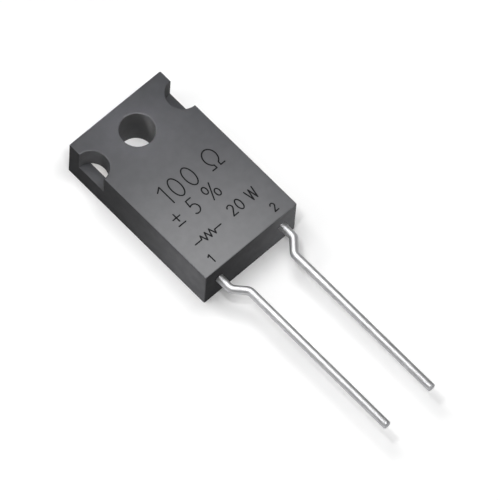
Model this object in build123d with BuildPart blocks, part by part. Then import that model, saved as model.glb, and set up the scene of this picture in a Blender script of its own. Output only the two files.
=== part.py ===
# A thick film power resistor in a moulded case, with a mounting hole and two formed leads.
#
# The resistor is printed on an alumina substrate, which is soldered to a copper mounting plate,
# and the case is moulded round the whole stack. The plate is bare on the back, where it meets a
# heat sink, and the substrate shows in two half-round notches beside the mounting hole.
#
# The origin is where the axis of the mounting hole meets the back face. +Z points up out of the
# marked face, and the leads run towards -Y. All sizes are in millimetres.

import os
from math import pi

from build123d import *

# Moulded case
case_width = 10.4
case_length = 16.8
case_thickness = 4.6
corner_radius = 0.12
top_edge_radius = 0.1
hole_diameter = 3.1
hole_to_end = 2.8
hole_liner = 0.55
notch_diameter = 3.0

# Copper mounting plate: its bare face is stepped in all round, so that the plastic grips it
plate_thickness = 1.27
plate_side_cover = 0.7
plate_hole_end_cover = 0.7
plate_lead_end_cover = 1.0
plate_step_width = 0.3
plate_step_height = 0.6
plate_corner_radius = 0.4

# Solder foil between the plate and the substrate
foil_thickness = 0.05
foil_inset = 0.3

# Alumina substrate
substrate_thickness = 1.0
substrate_side_cover = 1.0
substrate_hole_end_cover = 1.4
substrate_lead_end_cover = 1.5

# Conductors printed on the substrate
conductor_thickness = 0.02
conductor_width = 0.75
conductor_margin = 0.1
pad_width = 1.1
pad_length = 2.4

# Resistive film, with the L-shaped cut that trims its value
film_thickness = 0.02
film_length = 6.4
film_lap = 0.2
film_to_pad = 0.4
trim_width = 0.1
trim_plunge = 1.9
trim_leg = 2.2

# Glass overcoat on the film
glass_thickness = 0.03
glass_overhang = 0.2

# Leads: round wire, flattened at the inner end, and joggled inwards outside the case
lead_diameter = 0.76
lead_length = 19.2
exit_pitch = 7.2
lead_pitch = 5.08
stub_length = 1.4
joggle_length = 1.2
bend_radius = 0.7
tip_chamfer = 0.06
paddle_thickness = 0.5
paddle_length = 1.8
paddle_corner_radius = 0.1
paddle_setback = 0.3
coining_length = 0.5
coining_clearance = 0.1

# Solder joints between the leads and their pads
solder_thickness = 0.04
solder_fillet = 0.09
solder_climb = 0.2

# The stack, measured up from the back face
foil_bottom = plate_thickness
substrate_bottom = foil_bottom + foil_thickness
substrate_top = substrate_bottom + substrate_thickness
conductor_top = substrate_top + conductor_thickness
film_top = conductor_top + film_thickness
glass_top = film_top + glass_thickness
paddle_bottom = conductor_top + solder_thickness
lead_level = paddle_bottom + paddle_thickness / 2

# Places along the case, measured from the mounting hole
hole_end = hole_to_end
lead_end = hole_to_end - case_length
substrate_hole_end = hole_end - substrate_hole_end_cover
substrate_lead_end = lead_end + substrate_lead_end_cover
pad_lead_end = substrate_lead_end + conductor_margin
pad_hole_end = pad_lead_end + pad_length
film_lead_end = pad_hole_end + film_to_pad
film_hole_end = film_lead_end + film_length
paddle_lead_end = substrate_lead_end + paddle_setback
coining_end = substrate_lead_end - coining_clearance
coining_start = coining_end - coining_length

# Places across the case
slot_radius = hole_diameter / 2 + hole_liner
substrate_width = case_width - 2 * substrate_side_cover
conductor_outside = substrate_width / 2 - conductor_margin
conductor_inside = conductor_outside - conductor_width
wire_radius = lead_diameter / 2
paddle_width = pi * wire_radius**2 / paddle_thickness  # the flattened wire keeps its section


def centred_band(width, lead_side, hole_side):
    """A rectangle across the case, between two places along it."""
    with Locations((0, (lead_side + hole_side) / 2)):
        Rectangle(width, hole_side - lead_side)


def slotted_band(width, lead_side, hole_side, radius):
    """The same, with a slot that clears the mounting hole and opens at the hole end."""
    centred_band(width, lead_side, hole_side)
    Circle(radius, mode=Mode.SUBTRACT)
    with Locations((0, hole_side / 2)):
        Rectangle(2 * radius, hole_side, mode=Mode.SUBTRACT)


def end_corners(sketch):
    """The corners at the two ends of a slotted band, without those inside its slot."""
    rows = sketch.vertices().group_by(Axis.Y)
    return rows[0] + rows[-1]


os.makedirs("parts", exist_ok=True)

# The mounting plate
plate_width = case_width - 2 * plate_side_cover
plate_hole_end = hole_end - plate_hole_end_cover
plate_lead_end = lead_end + plate_lead_end_cover
with BuildPart() as mounting_plate:
    with BuildSketch(Plane.XY) as bare_face:
        slotted_band(
            plate_width - 2 * plate_step_width,
            plate_lead_end + plate_step_width,
            plate_hole_end - plate_step_width,
            slot_radius + plate_step_width,
        )
        fillet(end_corners(bare_face), plate_corner_radius)
    extrude(amount=plate_step_height)
    with BuildSketch(Plane.XY.offset(plate_step_height)) as flange:
        slotted_band(plate_width, plate_lead_end, plate_hole_end, slot_radius)
        fillet(end_corners(flange), plate_corner_radius)
    extrude(amount=plate_thickness - plate_step_height)
mounting_plate.part.label = "mounting_plate"
export_step(mounting_plate.part, "parts/mounting_plate.step")

# The solder foil, a little smaller all round than the substrate
with BuildPart() as solder_foil:
    with BuildSketch(Plane.XY.offset(foil_bottom)):
        slotted_band(
            substrate_width - 2 * foil_inset,
            substrate_lead_end + foil_inset,
            substrate_hole_end - foil_inset,
            slot_radius + foil_inset,
        )
    extrude(amount=foil_thickness)
solder_foil.part.label = "solder_foil"
export_step(solder_foil.part, "parts/solder_foil.step")

# The alumina substrate
with BuildPart() as ceramic_substrate:
    with BuildSketch(Plane.XY.offset(substrate_bottom)):
        slotted_band(substrate_width, substrate_lead_end, substrate_hole_end, slot_radius)
    extrude(amount=substrate_thickness)
ceramic_substrate.part.label = "ceramic_substrate"
export_step(ceramic_substrate.part, "parts/ceramic_substrate.step")

# The resistive film: it steps up onto both conductors, and the trim cut opens at one edge
with BuildPart() as resistive_film:
    with BuildSketch(Plane.XZ.offset(-film_hole_end)):
        with BuildLine():
            Polyline(
                (0, substrate_top),
                (conductor_inside, substrate_top),
                (conductor_inside, conductor_top),
                (conductor_inside + film_lap, conductor_top),
                (conductor_inside + film_lap, film_top),
                (conductor_inside - film_thickness, film_top),
                (conductor_inside - film_thickness, substrate_top + film_thickness),
                (0, substrate_top + film_thickness),
                close=True,
            )
        make_face()
        mirror(about=Plane.YZ)
    extrude(amount=film_length)
    with BuildSketch(Plane.XY.offset(substrate_top)):
        with Locations((0, film_lead_end + trim_plunge / 2)):
            Rectangle(trim_width, trim_plunge)
        with Locations(((trim_leg - trim_width) / 2, film_lead_end + trim_plunge)):
            Rectangle(trim_leg, trim_width)
    extrude(amount=film_thickness, mode=Mode.SUBTRACT)
resistive_film.part.label = "resistive_film"
export_step(resistive_film.part, "parts/resistive_film.step")

# On each side: a conductor, a lead, and the solder that joins the lead to the conductor's pad
side_pieces = {}
for name, side in (("left", -1), ("right", 1)):
    exit_x = side * exit_pitch / 2
    final_x = side * lead_pitch / 2
    joggle_start = lead_end - stub_length
    joggle_end = joggle_start - joggle_length
    lead_tip = lead_end - lead_length
    paddle_middle = paddle_lead_end + paddle_length / 2

    with BuildPart() as conductor:
        with BuildSketch(Plane.XY.offset(substrate_top)):
            with Locations((exit_x, (pad_lead_end + pad_hole_end) / 2)):
                Rectangle(pad_width, pad_length)
            bar_x = side * (conductor_inside + conductor_outside) / 2
            with Locations((bar_x, (pad_lead_end + film_hole_end) / 2)):
                Rectangle(conductor_width, film_hole_end - pad_lead_end)
        extrude(amount=conductor_thickness)
    conductor.part.label = f"{name}_conductor"

    with BuildPart() as lead:
        with BuildLine() as route:
            FilletPolyline(
                (exit_x, coining_start, lead_level),
                (exit_x, joggle_start, lead_level),
                (final_x, joggle_end, lead_level),
                (final_x, lead_tip, lead_level),
                radius=bend_radius,
            )
        with BuildSketch(Plane.XZ.offset(-coining_start)):
            with Locations((exit_x, lead_level)):
                Circle(wire_radius)
        sweep(path=route.line)
        chamfer(lead.faces().sort_by(Axis.Y)[0].edges(), tip_chamfer)
        # Flattening: from the round wire to the flat paddle that lies on the pad
        with BuildSketch(Plane.XZ.offset(-coining_start)):
            with Locations((exit_x, lead_level)):
                Circle(wire_radius)
        with BuildSketch(Plane.XZ.offset(-coining_end)):
            with Locations((exit_x, lead_level)):
                RectangleRounded(paddle_width, paddle_thickness, paddle_corner_radius)
        loft()
        with BuildSketch(Plane.XZ.offset(-coining_end)):
            with Locations((exit_x, lead_level)):
                RectangleRounded(paddle_width, paddle_thickness, paddle_corner_radius)
        extrude(amount=-(paddle_lead_end + paddle_length - coining_end))
    lead.part.label = f"{name}_lead"

    with BuildPart() as solder_joint:
        with BuildSketch(Plane.XY.offset(conductor_top)):
            with Locations((exit_x, paddle_middle)):
                Rectangle(paddle_width + 2 * solder_fillet, paddle_length + 2 * solder_fillet)
        with BuildSketch(Plane.XY.offset(paddle_bottom + solder_climb)):
            with Locations((exit_x, paddle_middle)):
                Rectangle(paddle_width, paddle_length)
        loft()
        add(lead.part, mode=Mode.SUBTRACT)
    solder_joint.part.label = f"{name}_solder_joint"

    for piece in (conductor, lead, solder_joint):
        export_step(piece.part, f"parts/{piece.part.label}.step")
        side_pieces[piece.part.label] = piece.part

# The glass overcoat: it seals the film, fills the trim cut and leaves the pads bare
with BuildPart() as glass_overcoat:
    with BuildSketch(Plane.XY.offset(substrate_top)):
        centred_band(
            2 * conductor_outside,
            film_lead_end - glass_overhang,
            film_hole_end + glass_overhang,
        )
    extrude(amount=glass_top - substrate_top)
    add(resistive_film.part, mode=Mode.SUBTRACT)
    add(side_pieces["left_conductor"], mode=Mode.SUBTRACT)
    add(side_pieces["right_conductor"], mode=Mode.SUBTRACT)
glass_overcoat.part.label = "glass_overcoat"
export_step(glass_overcoat.part, "parts/glass_overcoat.step")

# The moulded case: it fills every space round the stack, and the notches stop at the substrate
stack = [
    mounting_plate.part,
    solder_foil.part,
    ceramic_substrate.part,
    resistive_film.part,
    glass_overcoat.part,
    *side_pieces.values(),
]
with BuildPart() as moulded_case:
    with BuildSketch(Plane.XY):
        centred_band(case_width, lead_end, hole_end)
    extrude(amount=case_thickness)
    fillet(moulded_case.edges().filter_by(Axis.Z), corner_radius)
    with BuildSketch(Plane.XY.offset(substrate_top)):
        with Locations((-case_width / 2, 0), (case_width / 2, 0)):
            Circle(notch_diameter / 2)
    extrude(amount=case_thickness - substrate_top, mode=Mode.SUBTRACT)
    with Locations((0, 0, case_thickness)):
        Hole(hole_diameter / 2)
    fillet(moulded_case.faces().sort_by(Axis.Z)[-1].edges(), top_edge_radius)
    for piece in stack:
        add(piece, mode=Mode.SUBTRACT)
moulded_case.part.label = "moulded_case"
export_step(moulded_case.part, "parts/moulded_case.step")
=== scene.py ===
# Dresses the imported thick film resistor: finishes, printed marking, floor, light and camera.
import math

import bpy
from mathutils import Matrix, Vector


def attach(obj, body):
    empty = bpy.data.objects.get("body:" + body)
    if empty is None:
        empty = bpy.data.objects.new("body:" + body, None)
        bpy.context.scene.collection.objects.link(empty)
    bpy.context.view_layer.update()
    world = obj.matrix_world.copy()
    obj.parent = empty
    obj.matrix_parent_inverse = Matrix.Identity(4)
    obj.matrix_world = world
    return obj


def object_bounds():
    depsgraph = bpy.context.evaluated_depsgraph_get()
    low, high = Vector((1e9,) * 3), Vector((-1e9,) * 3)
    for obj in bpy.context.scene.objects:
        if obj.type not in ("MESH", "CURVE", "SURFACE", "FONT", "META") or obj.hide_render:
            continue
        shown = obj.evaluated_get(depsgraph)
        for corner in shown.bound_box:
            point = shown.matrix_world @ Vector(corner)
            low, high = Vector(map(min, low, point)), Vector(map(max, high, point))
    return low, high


mm = 0.001

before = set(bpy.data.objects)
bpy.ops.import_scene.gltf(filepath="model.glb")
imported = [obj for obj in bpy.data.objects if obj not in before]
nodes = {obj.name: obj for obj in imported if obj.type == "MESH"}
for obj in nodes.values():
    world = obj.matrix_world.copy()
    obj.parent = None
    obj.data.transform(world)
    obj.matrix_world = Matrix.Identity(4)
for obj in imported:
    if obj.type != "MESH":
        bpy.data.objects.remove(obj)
cadLow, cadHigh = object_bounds()
print("frame loaded:", len(nodes), "pieces")


def newMaterial(name):
    material = bpy.data.materials.new(name)
    material.use_nodes = True
    tree = material.node_tree
    return material, tree, tree.nodes["Principled BSDF"]


def addNode(tree, kind, inputs=None, **settings):
    node = tree.nodes.new(kind)
    for key, value in settings.items():
        setattr(node, key, value)
    for key, value in (inputs or {}).items():
        if isinstance(value, bpy.types.NodeSocket):
            tree.links.new(value, node.inputs[key])
        else:
            node.inputs[key].default_value = value
    return node


def objectPosition(tree, stretch=(1, 1, 1)):
    coordinates = addNode(tree, "ShaderNodeTexCoord")
    scaled = addNode(
        tree, "ShaderNodeMapping", {"Vector": coordinates.outputs["Object"], "Scale": stretch}
    )
    return scaled.outputs["Vector"]


def noise(tree, vector, size, detail):
    inputs = {"Vector": vector, "Scale": 1 / size, "Detail": detail}
    return addNode(tree, "ShaderNodeTexNoise", inputs).outputs["Fac"]


def calculate(tree, operation, *values):
    node = addNode(tree, "ShaderNodeMath", dict(enumerate(values)), operation=operation)
    return node.outputs["Value"]


def blendColours(tree, factor, stops, colours):
    ramp = addNode(tree, "ShaderNodeValToRGB", {"Fac": factor})
    for element, place, colour in zip(ramp.color_ramp.elements, stops, colours):
        element.position = place
        element.color = (*colour, 1)
    return ramp.outputs["Color"]


def mixColours(tree, factor, first, second):
    # a Mix node's colour sockets share their names with its other ones, so they go by number
    made = addNode(tree, "ShaderNodeMix", {0: factor, 6: first, 7: second}, data_type="RGBA")
    return made.outputs[2]


def spread(tree, factor, low, high):
    made = addNode(tree, "ShaderNodeMapRange", {"Value": factor, "To Min": low, "To Max": high})
    return made.outputs["Result"]


def bump(tree, height, depth, normal=None):
    inputs = {"Height": height, "Distance": depth, "Strength": 1.0}
    if normal is not None:
        inputs["Normal"] = normal
    return addNode(tree, "ShaderNodeBump", inputs).outputs["Normal"]


def wear(piece, material):
    piece.data.materials.clear()
    piece.data.materials.append(material)


casePlastic = {
    "faceColours": ((0.0463, 0.0470, 0.0525), (0.0543, 0.0550, 0.0605)),
    # painted shade: the walls are the same epoxy as the face, painted about a third as light to
    # stand in for the shade on the sides
    "wallColours": ((0.0165, 0.0165, 0.0175), (0.0215, 0.0215, 0.0225)),
    # painted light: the hole's wall is painted much paler than the outer walls, and the notches'
    # walls at the sides a little paler, standing in for light falling into them
    "paintedLightHoleColours": ((0.130, 0.130, 0.133), (0.145, 0.145, 0.148)),
    "paintedLightNotchColours": ((0.050, 0.050, 0.052), (0.060, 0.060, 0.062)),
    "holeReach": 1.58 * mm,  # just past the hole's wall, from its axis
    "notchReach": 1.53 * mm,
    "notchFloor": 2.31 * mm,  # just under the ledge half way up
    "mottleSize": 0.9 * mm,
    "mottleDetail": 4,
    "mottleStops": (0.35, 0.65),
    "grainSize": 0.09 * mm,  # the spark-eroded skin of the mould
    "grainDetail": 2,
    "grainDepth": 0.002 * mm,
    "waveSize": 2.4 * mm,
    "waveDetail": 1,
    "waveDepth": 0.002 * mm,
    "faceRoughness": (0.50, 0.60),
    "wallRoughness": (0.80, 0.90),  # the walls keep the mould's coarser skin
    "wallTurn": (0.5, 0.95),  # how far up a surface looks where wall ends and face begins
    "shine": 0.08,
    "polish": 1.0,  # the upper face alone was lapped smooth for its marking
    "polishRoughness": 0.34,
}


def nearAxis(tree, x, y, reach):
    flat = addNode(tree, "ShaderNodeCombineXYZ", {"X": x, "Y": y}).outputs["Vector"]
    radius = addNode(tree, "ShaderNodeVectorMath", {0: flat}, operation="LENGTH").outputs["Value"]
    return calculate(tree, "LESS_THAN", radius, reach)


# the masks for the painted light: the hole's wall, and the notches' walls above their ledge
def paintedLightMasks(tree, place):
    x, y, z = addNode(tree, "ShaderNodeSeparateXYZ", {"Vector": place}).outputs
    fromSide = calculate(tree, "SUBTRACT", calculate(tree, "ABSOLUTE", x), cadHigh.x)
    paintedLightHole = nearAxis(tree, x, y, casePlastic["holeReach"])
    paintedLightNotch = nearAxis(tree, fromSide, y, casePlastic["notchReach"])
    aboveLedge = calculate(tree, "GREATER_THAN", z, casePlastic["notchFloor"])
    return paintedLightHole, calculate(tree, "MULTIPLY", paintedLightNotch, aboveLedge)


def makeCasePlastic():
    material, tree, shader = newMaterial("mouldedEpoxy")
    place = objectPosition(tree)
    mottle = noise(tree, place, casePlastic["mottleSize"], casePlastic["mottleDetail"])
    grain = noise(tree, place, casePlastic["grainSize"], casePlastic["grainDetail"])
    wave = noise(tree, place, casePlastic["waveSize"], casePlastic["waveDetail"])
    facing = addNode(tree, "ShaderNodeTexCoord").outputs["Normal"]
    upward = addNode(tree, "ShaderNodeSeparateXYZ", {"Vector": facing}).outputs["Z"]
    wallEnds, faceBegins = casePlastic["wallTurn"]
    limits = {"Value": upward, "From Min": wallEnds, "From Max": faceBegins}
    turn = addNode(tree, "ShaderNodeMapRange", limits).outputs["Result"]

    wallRough = spread(tree, mottle, *casePlastic["wallRoughness"])
    faceRough = spread(tree, mottle, *casePlastic["faceRoughness"])
    rough = addNode(tree, "ShaderNodeMix", {"Factor": turn, "A": wallRough, "B": faceRough})
    tree.links.new(rough.outputs["Result"], shader.inputs["Roughness"])

    wall, paintedHoleLight, paintedNotchLight, face = (
        blendColours(tree, mottle, casePlastic["mottleStops"], casePlastic[name + "Colours"])
        for name in ("wall", "paintedLightHole", "paintedLightNotch", "face")
    )
    # painted light: the hole's and the notches' walls take their paler colours here
    paintedLightHole, paintedLightNotch = paintedLightMasks(tree, place)
    wall = mixColours(tree, paintedLightNotch, mixColours(tree, paintedLightHole, wall, paintedHoleLight), paintedNotchLight)
    # painted shade: sideways surfaces take the darker wall colour, upward ones the face's own
    # colour
    tree.links.new(mixColours(tree, turn, wall, face), shader.inputs["Base Color"])

    grained = bump(tree, grain, casePlastic["grainDepth"])
    tree.links.new(bump(tree, wave, casePlastic["waveDepth"], grained), shader.inputs["Normal"])
    polished = spread(tree, turn, 0.0, casePlastic["polish"])
    tree.links.new(polished, shader.inputs["Coat Weight"])
    shader.inputs["Coat Roughness"].default_value = casePlastic["polishRoughness"]
    shader.inputs["Specular IOR Level"].default_value = casePlastic["shine"]
    return material


tin = {
    "colours": ((0.53, 0.53, 0.54), (0.62, 0.62, 0.63)),  # dull and bright patches
    "edge": (0.18, 0.18, 0.19),  # what it reflects at a glancing angle
    "patchSize": 0.8 * mm,
    "patchDetail": 2,
    "patchStops": (0.3, 0.7),
    "streakSize": 0.12 * mm,
    "streakDetail": 3,
    "streakStretch": (1, 0.06, 1),  # drawn along the wire
    "streakDepth": 0.0003 * mm,
    "roughness": (0.50, 0.56),
}


def makeTin():
    material, tree, shader = newMaterial("tinnedWire")
    drawn = objectPosition(tree, tin["streakStretch"])
    streaks = noise(tree, drawn, tin["streakSize"], tin["streakDetail"])
    patches = noise(tree, objectPosition(tree), tin["patchSize"], tin["patchDetail"])
    colour = blendColours(tree, patches, tin["patchStops"], tin["colours"])
    tree.links.new(colour, shader.inputs["Base Color"])
    tree.links.new(spread(tree, streaks, *tin["roughness"]), shader.inputs["Roughness"])
    tree.links.new(bump(tree, streaks, tin["streakDepth"]), shader.inputs["Normal"])
    shader.inputs["Metallic"].default_value = 1.0
    shader.inputs["Specular Tint"].default_value = (*tin["edge"], 1)
    return material


nickel = {
    "colours": ((0.50, 0.47, 0.43), (0.66, 0.63, 0.58)),
    "stainSize": 2.2 * mm,
    "stainDetail": 3,
    "stainStops": (0.3, 0.7),
    "rollSize": 0.15 * mm,
    "rollDetail": 4,
    "rollStretch": (1, 0.05, 1),  # rolled lengthways
    "rollDepth": 0.001 * mm,
    "roughness": (0.26, 0.40),
}


def makeNickel():
    material, tree, shader = newMaterial("nickelPlatedCopper")
    along = objectPosition(tree, nickel["rollStretch"])
    rolled = noise(tree, along, nickel["rollSize"], nickel["rollDetail"])
    stains = noise(tree, objectPosition(tree), nickel["stainSize"], nickel["stainDetail"])
    colour = blendColours(tree, stains, nickel["stainStops"], nickel["colours"])
    tree.links.new(colour, shader.inputs["Base Color"])
    tree.links.new(spread(tree, rolled, *nickel["roughness"]), shader.inputs["Roughness"])
    tree.links.new(bump(tree, rolled, nickel["rollDepth"]), shader.inputs["Normal"])
    shader.inputs["Metallic"].default_value = 1.0
    return material


alumina = {
    "colours": ((0.76, 0.75, 0.73), (0.88, 0.87, 0.85)),
    "grainSize": 0.06 * mm,
    "grainDetail": 3,
    "grainStops": (0.3, 0.7),
    "grainDepth": 0.002 * mm,
    "roughness": (0.5, 0.65),
}


def makeAlumina():
    material, tree, shader = newMaterial("firedAlumina")
    grain = noise(tree, objectPosition(tree), alumina["grainSize"], alumina["grainDetail"])
    colour = blendColours(tree, grain, alumina["grainStops"], alumina["colours"])
    tree.links.new(colour, shader.inputs["Base Color"])
    tree.links.new(spread(tree, grain, *alumina["roughness"]), shader.inputs["Roughness"])
    tree.links.new(bump(tree, grain, alumina["grainDepth"]), shader.inputs["Normal"])
    return material


innerGrain = {"detail": 3, "stops": (0.3, 0.7)}
# the layers sealed in the case: two colours, grain size and depth in mm, roughness, metal or not
innerFinishes = {
    "firedSilver": ((0.52, 0.51, 0.49), (0.70, 0.69, 0.67), 0.04, 0.003, (0.35, 0.5), 1.0),
    "rutheniumFilm": ((0.035, 0.035, 0.038), (0.060, 0.060, 0.066), 0.05, 0.003, (0.4, 0.55), 0.0),
    "greenGlass": ((0.030, 0.130, 0.090), (0.050, 0.190, 0.130), 0.30, 0.002, (0.12, 0.2), 0.0),
    "solder": ((0.55, 0.56, 0.58), (0.70, 0.71, 0.73), 0.20, 0.006, (0.25, 0.4), 1.0),
}


def makeInnerFinish(name):
    dark, light, size, depth, roughness, metallic = innerFinishes[name]
    material, tree, shader = newMaterial(name)
    grain = noise(tree, objectPosition(tree), size * mm, innerGrain["detail"])
    colour = blendColours(tree, grain, innerGrain["stops"], (dark, light))
    tree.links.new(colour, shader.inputs["Base Color"])
    tree.links.new(spread(tree, grain, *roughness), shader.inputs["Roughness"])
    tree.links.new(bump(tree, grain, depth * mm), shader.inputs["Normal"])
    shader.inputs["Metallic"].default_value = metallic
    return material


tinnedWire = makeTin()
fired = {name: makeInnerFinish(name) for name in innerFinishes}
finishOf = {
    "moulded_case": makeCasePlastic(),
    "mounting_plate": makeNickel(),
    "ceramic_substrate": makeAlumina(),
    "left_lead": tinnedWire,
    "right_lead": tinnedWire,
    "left_conductor": fired["firedSilver"],
    "right_conductor": fired["firedSilver"],
    "resistive_film": fired["rutheniumFilm"],
    "glass_overcoat": fired["greenGlass"],
    "solder_foil": fired["solder"],
    "left_solder_joint": fired["solder"],
    "right_solder_joint": fired["solder"],
}
for name, material in finishOf.items():
    wear(nodes[name], material)
print("finishes made:", len(set(finishOf.values())))


# printed on the face: a plain value, tolerance and rating, a resistor's symbol and lead numbers
marking = {
    "strokeWidth": 0.125,  # mm
    "strokeHeight": 0.008,  # mm, of which half sinks into the face
    "sectionSides": 8,
    "endSegments": 16,
    "endRings": 8,
    "gap": 0.26,  # between two signs, as a share of their height
    "space": 0.40,
    "arcStep": 10,  # degrees
    "corner": 30,  # degrees: a sharper turn starts a new stroke with its own round end
    "closedGap": 0.001,  # mm: a stroke with its ends nearer than this is a ring
    "inkColours": ((0.004, 0.004, 0.0045), (0.008, 0.008, 0.009)),
    "inkGrain": 0.05 * mm,
    "inkDetail": 3,
    "inkStops": (0.35, 0.7),
    "roughness": (0.75, 0.9),
    "shine": 0.15,
    # text, left end in x, foot in y, height: in mm from the mounting hole
    "lines": (
        ("100 Ω", -2.9, -7.05, 1.9),
        ("± 5 %", -3.6, -9.1, 1.5),
        ("20 W", 0.5, -11.3, 1.05),
        ("1", -3.75, -13.3, 0.8),
        ("2", 3.35, -13.3, 0.8),
    ),
    "symbolPlace": (-3.7, -11.1),  # its left end and its middle line
    "symbolLength": 2.9,  # the zigzag takes the middle half
    "symbolHeight": 0.7,
    "symbolPeaks": 6,
}


def arc(centre, radii, start, stop):
    (x, y), (wide, high) = centre, radii
    count = max(2, round(abs(stop - start) / marking["arcStep"]))
    angles = [math.radians(start + (stop - start) * i / count) for i in range(count + 1)]
    return [(x + wide * math.cos(a), y + high * math.sin(a)) for a in angles]


# each sign is one unit high: its width, then its strokes
signs = {
    "0": (0.54, [arc((0.27, 0.5), (0.25, 0.5), 90, 450)]),
    "1": (0.34, [[(0.06, 0.82), (0.30, 1), (0.30, 0)]]),
    "2": (0.52, [arc((0.25, 0.73), (0.23, 0.27), 160, -38) + [(0.02, 0), (0.5, 0)]]),
    "5": (
        0.52,
        [[(0.46, 1), (0.11, 1), (0.07, 0.57)] + arc((0.22, 0.31), (0.27, 0.31), 118, -130)],
    ),
    "Ω": (
        0.76,
        [
            [(0.02, 0), (0.26, 0)]
            + arc((0.38, 0.57), (0.33, 0.43), 248, -68)
            + [(0.5, 0), (0.74, 0)]
        ],
    ),
    "W": (0.84, [[(0.02, 1), (0.22, 0), (0.42, 0.95), (0.62, 0), (0.82, 1)]]),
    "±": (
        0.58,
        [
            [(0.04, 0.6), (0.54, 0.6)],
            [(0.29, 0.87), (0.29, 0.33)],
            [(0.04, 0.1), (0.54, 0.1)],
        ],
    ),
    "%": (
        0.86,
        [
            arc((0.18, 0.76), (0.15, 0.24), 90, 450),
            arc((0.68, 0.24), (0.15, 0.24), 90, 450),
            [(0.66, 1), (0.2, 0)],
        ],
    ),
}


def markingStrokes():
    strokes = []
    for text, left, foot, height in marking["lines"]:
        for sign in text:
            if sign == " ":
                left += marking["space"] * height
                continue
            width, paths = signs[sign]
            strokes += [[(left + x * height, foot + y * height) for x, y in path] for path in paths]
            left += (width + marking["gap"]) * height
    return [part for stroke in [*strokes, symbolStroke()] for part in cutAtCorners(stroke)]


def cutAtCorners(stroke):
    parts = [[stroke[0]]]
    for before, here, after in zip(stroke, stroke[1:], stroke[2:]):
        parts[-1].append(here)
        turn = (Vector(here) - Vector(before)).angle(Vector(after) - Vector(here))
        if math.degrees(turn) > marking["corner"]:
            parts.append([here])
    parts[-1].append(stroke[-1])
    return parts


def symbolStroke():
    left, middle = marking["symbolPlace"]
    length, peaks = marking["symbolLength"], marking["symbolPeaks"]
    rise = marking["symbolHeight"] / 2
    start, end = left + length / 4, left + length * 3 / 4
    pitch = (end - start) / peaks
    zigzag = [(start + (i + 0.5) * pitch, middle + rise * (-1) ** i) for i in range(peaks)]
    return [(left, middle), (start, middle), *zigzag, (end, middle), (left + length, middle)]


# sweeps a flat oval along every stroke and closes its ends with flat round beads
def strokeTree(ink):
    tree = bpy.data.node_groups.new("printedStrokes", "GeometryNodeTree")
    sockets = tree.interface
    sockets.new_socket("Strokes", in_out="INPUT", socket_type="NodeSocketGeometry")
    sockets.new_socket("Width", in_out="INPUT", socket_type="NodeSocketFloat")
    sockets.new_socket("Height", in_out="INPUT", socket_type="NodeSocketFloat")
    sockets.new_socket("Print", in_out="OUTPUT", socket_type="NodeSocketGeometry")
    strokes, width, height = list(addNode(tree, "NodeGroupInput").outputs)[:3]

    upright = addNode(tree, "GeometryNodeSetCurveNormal", {"Curve": strokes}, mode="Z_UP")
    circle = {"Resolution": marking["sectionSides"], "Radius": 0.5}
    section = addNode(tree, "GeometryNodeCurvePrimitiveCircle", circle).outputs["Curve"]
    stretch = addNode(tree, "ShaderNodeCombineXYZ", {"X": width, "Y": height, "Z": 1.0})
    pressed = {"Geometry": section, "Scale": stretch.outputs["Vector"]}
    oval = addNode(tree, "GeometryNodeTransform", pressed).outputs["Geometry"]
    along = {"Curve": upright.outputs["Curve"], "Profile Curve": oval, "Fill Caps": True}
    swept = addNode(tree, "GeometryNodeCurveToMesh", along)

    ball = {"Segments": marking["endSegments"], "Rings": marking["endRings"], "Radius": 0.5}
    beadSize = addNode(tree, "ShaderNodeCombineXYZ", {"X": width, "Y": width, "Z": height})
    atEnds = {
        "Points": strokes,
        "Selection": addNode(tree, "GeometryNodeCurveEndpointSelection").outputs["Selection"],
        "Instance": addNode(tree, "GeometryNodeMeshUVSphere", ball).outputs["Mesh"],
        "Scale": beadSize.outputs["Vector"],
    }
    beads = addNode(tree, "GeometryNodeInstanceOnPoints", atEnds)

    joined = addNode(tree, "GeometryNodeJoinGeometry")
    tree.links.new(beads.outputs["Instances"], joined.inputs["Geometry"])
    tree.links.new(swept.outputs["Mesh"], joined.inputs["Geometry"])
    whole = joined.outputs["Geometry"]
    real = addNode(tree, "GeometryNodeRealizeInstances", {"Geometry": whole}).outputs["Geometry"]
    inked = addNode(tree, "GeometryNodeSetMaterial", {"Geometry": real, "Material": ink})
    addNode(tree, "NodeGroupOutput", {"Print": inked.outputs["Geometry"]})
    return tree


def makeInk():
    material, tree, shader = newMaterial("printedInk")
    grain = noise(tree, objectPosition(tree), marking["inkGrain"], marking["inkDetail"])
    colour = blendColours(tree, grain, marking["inkStops"], marking["inkColours"])
    tree.links.new(colour, shader.inputs["Base Color"])
    tree.links.new(spread(tree, grain, *marking["roughness"]), shader.inputs["Roughness"])
    shader.inputs["Specular IOR Level"].default_value = marking["shine"]
    return material


def drawStrokes():
    curve = bpy.data.curves.new("strokes", "CURVE")
    curve.dimensions = "3D"
    for stroke in markingStrokes():
        closed = math.dist(stroke[0], stroke[-1]) < marking["closedGap"]
        points = stroke[:-1] if closed else stroke
        spline = curve.splines.new("POLY")
        spline.points.add(len(points) - 1)
        spline.use_cyclic_u = closed
        for point, (x, y) in zip(spline.points, points):
            point.co = (x * mm, y * mm, cadHigh.z, 1)
    drawn = bpy.data.objects.new("strokes", curve)
    bpy.context.scene.collection.objects.link(drawn)
    return drawn


def makeMarking():
    strokes = drawStrokes()
    modifier = strokes.modifiers.new("printedStrokes", "NODES")
    modifier.node_group = strokeTree(makeInk())
    for item in modifier.node_group.interface.items_tree:
        if item.name in ("Width", "Height"):
            modifier[item.identifier] = marking["stroke" + item.name] * mm
    evaluated = strokes.evaluated_get(bpy.context.evaluated_depsgraph_get())
    mesh = bpy.data.meshes.new_from_object(evaluated)
    bpy.data.objects.remove(strokes)
    mesh.name = "marking"
    piece = bpy.data.objects.new("marking", mesh)
    bpy.context.scene.collection.objects.link(piece)
    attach(piece, "root")
    print("marking made:", len(mesh.polygons), "faces")


makeMarking()


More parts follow.
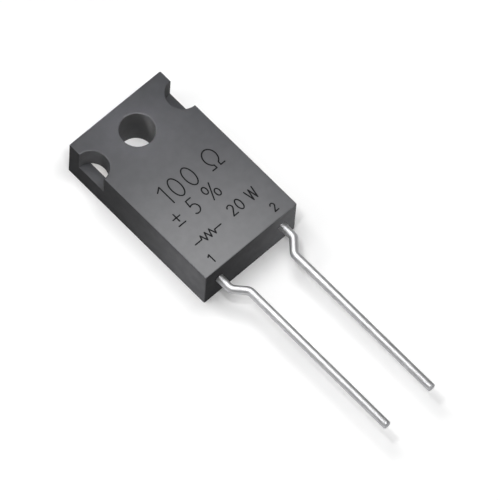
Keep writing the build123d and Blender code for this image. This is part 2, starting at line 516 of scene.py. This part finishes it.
stage = {
    "floorSize": 900 * mm,
    "floorDrop": 0.002 * mm,  # keeps the floor and the part's back out of one plane
    "floorColour": (0.88, 0.88, 0.88),
    # the lamps light the floor to this level here, less and less away from it (mm)
    "litCentre": (-6, -4),
    "litLevel": 1.08,
    "litReach": 54,
    "litFalloff": 1.5,
    # and the floor's own glow makes up the rest to white, never less than leastGlow
    "white": 1.06,
    "leastGlow": 0.13,
}


# one for the rays that meet the floor straight on, in a reflection or through glass, else zero
def seenDirectly(tree):
    path = addNode(tree, "ShaderNodeLightPath").outputs
    mirrored = calculate(tree, "MAXIMUM", path["Is Camera Ray"], path["Is Glossy Ray"])
    return calculate(tree, "MAXIMUM", mirrored, path["Is Transmission Ray"])


def makePaleFloor(height):
    material, tree = newMaterial("paleFloor")[:2]
    tree.nodes.clear()
    centre = [part * mm for part in stage["litCentre"]] + [height]
    ends = {0: objectPosition(tree), 1: centre}
    away = addNode(tree, "ShaderNodeVectorMath", ends, operation="DISTANCE").outputs["Value"]
    away = calculate(tree, "DIVIDE", away, stage["litReach"] * mm)
    lit = calculate(tree, "MULTIPLY_ADD", away, away, 1.0)
    lit = calculate(tree, "POWER", lit, -stage["litFalloff"])
    missing = calculate(tree, "MULTIPLY_ADD", lit, -stage["litLevel"], stage["white"])
    lift = calculate(tree, "MAXIMUM", missing, stage["leastGlow"])
    lift = calculate(tree, "MULTIPLY", seenDirectly(tree), lift)
    matte = addNode(tree, "ShaderNodeBsdfDiffuse", {"Color": (*stage["floorColour"], 1)})
    glow = addNode(tree, "ShaderNodeEmission", {"Strength": lift})
    layers = {0: matte.outputs["BSDF"], 1: glow.outputs["Emission"]}
    both = addNode(tree, "ShaderNodeAddShader", layers).outputs["Shader"]
    addNode(tree, "ShaderNodeOutputMaterial", {"Surface": both})
    return material


def makeFloor():
    half = stage["floorSize"] / 2
    height = cadLow.z - stage["floorDrop"]
    corners = [(x * half, y * half, height) for x, y in ((-1, -1), (1, -1), (1, 1), (-1, 1))]
    mesh = bpy.data.meshes.new("floor")
    mesh.from_pydata(corners, [], [(0, 1, 2, 3)])
    mesh.materials.append(makePaleFloor(height))
    floor = bpy.data.objects.new("floor", mesh)
    bpy.context.scene.collection.objects.link(floor)


# a soft grey sky, over a low white wall that stands all round behind the floor
room = {
    "horizon": 0.05,
    "zenith": 0.3,
    "skyPower": 2.0,  # how late the sky brightens on the way up
    "wallTop": 0.05,  # as the upward part of a direction
}


def lightWorld():
    world = bpy.data.worlds.new("studio")
    world.use_nodes = True
    bpy.context.scene.world = world
    tree = world.node_tree
    background = tree.nodes["Background"]
    background.inputs["Color"].default_value = (1, 1, 1, 1)
    direction = addNode(tree, "ShaderNodeTexCoord").outputs["Generated"]
    rise = addNode(tree, "ShaderNodeSeparateXYZ", {"Vector": direction}).outputs["Z"]
    curve = calculate(tree, "POWER", calculate(tree, "MAXIMUM", rise, 0.0), room["skyPower"])
    sky = spread(tree, curve, room["horizon"], room["zenith"])
    wall = calculate(tree, "LESS_THAN", rise, room["wallTop"])
    tree.links.new(calculate(tree, "MAXIMUM", sky, wall), background.inputs["Strength"])


# soft lamps: place and target in mm, diameter in mm, power in watts, spread in degrees
lamps = {
    "sheenPanel": ((4, -6, 36), (-3, -14, 4), 20, 0.0072, 180),
    "leadPanel": ((-27, 4, 78), (0, -20, 3), 50, 0.0088, 180),
    "leftPanel": ((-50, 25, 55), (0, -8, 2), 45, 0.0130, 180),
    "backLamp": ((-9, 42, 62), (0, -12, 2), 16, 0.0080, 180),
    "topLamp": ((-14, -17, 62), (0, -12, 2), 8, 0.0085, 180),
    "holeLamp": ((-15, 16.7, 30.8), (0.8, -0.8, 3.2), 5, 0.00007, 10),
    "cornerCard": ((-14, -12.5, 2.2), (-5.2, -12.3, 2.2), 4, 0.0020, 150),
    "endCard": ((8, -22, 2.2), (5, -14, 2.2), 4, 0.0019, 150),
}


# these touch up the case's hole and outer walls, and light nothing but the case
caseOnly = ("holeLamp", "cornerCard", "endCard")
caseGroup = bpy.data.collections.new("caseLight")
caseGroup.objects.link(nodes["moulded_case"])


def addLamp(name):
    place, target, size, power, spreadAngle = lamps[name]
    data = bpy.data.lights.new(name, "AREA")
    data.shape = "DISK"
    data.size = size * mm
    data.energy = power
    data.spread = math.radians(spreadAngle)
    lamp = bpy.data.objects.new(name, data)
    lamp.location = Vector(place) * mm
    aim = Vector(target) - Vector(place)
    lamp.rotation_euler = aim.to_track_quat("-Z", "Y").to_euler()
    lamp.visible_camera = False
    bpy.context.scene.collection.objects.link(lamp)
    if name in caseOnly:
        lamp.light_linking.receiver_collection = caseGroup
        lamp.light_linking.blocker_collection = caseGroup


camera = {
    "azimuth": -47.75,  # the three angles in degrees
    "elevation": 64.04,
    "roll": 5.08,
    "target": (0.286, -13.633, 2.0),  # mm
    "distance": 600.0,
    "lens": 517.3,
    "sensorWidth": 36,
    "clip": (0.01, 10),  # m
}


def placeCamera():
    azimuth, elevation, roll = (math.radians(camera[k]) for k in ("azimuth", "elevation", "roll"))
    level = Vector((0, -math.cos(elevation), math.sin(elevation)))
    back = Matrix.Rotation(azimuth, 3, "Z") @ level
    data = bpy.data.cameras.new("camera")
    data.sensor_width = camera["sensorWidth"]
    data.lens = camera["lens"]
    data.clip_start, data.clip_end = camera["clip"]
    eye = bpy.data.objects.new("camera", data)
    eye.location = (Vector(camera["target"]) + back * camera["distance"]) * mm
    upright = (-back).to_track_quat("-Z", "Y").to_matrix()
    eye.rotation_euler = (upright @ Matrix.Rotation(roll, 3, "Z")).to_euler()
    bpy.context.scene.collection.objects.link(eye)
    bpy.context.scene.camera = eye


makeFloor()
lightWorld()
for name in lamps:
    addLamp(name)
placeCamera()
bpy.context.scene.view_settings.view_transform = "Standard"
print("stage set")
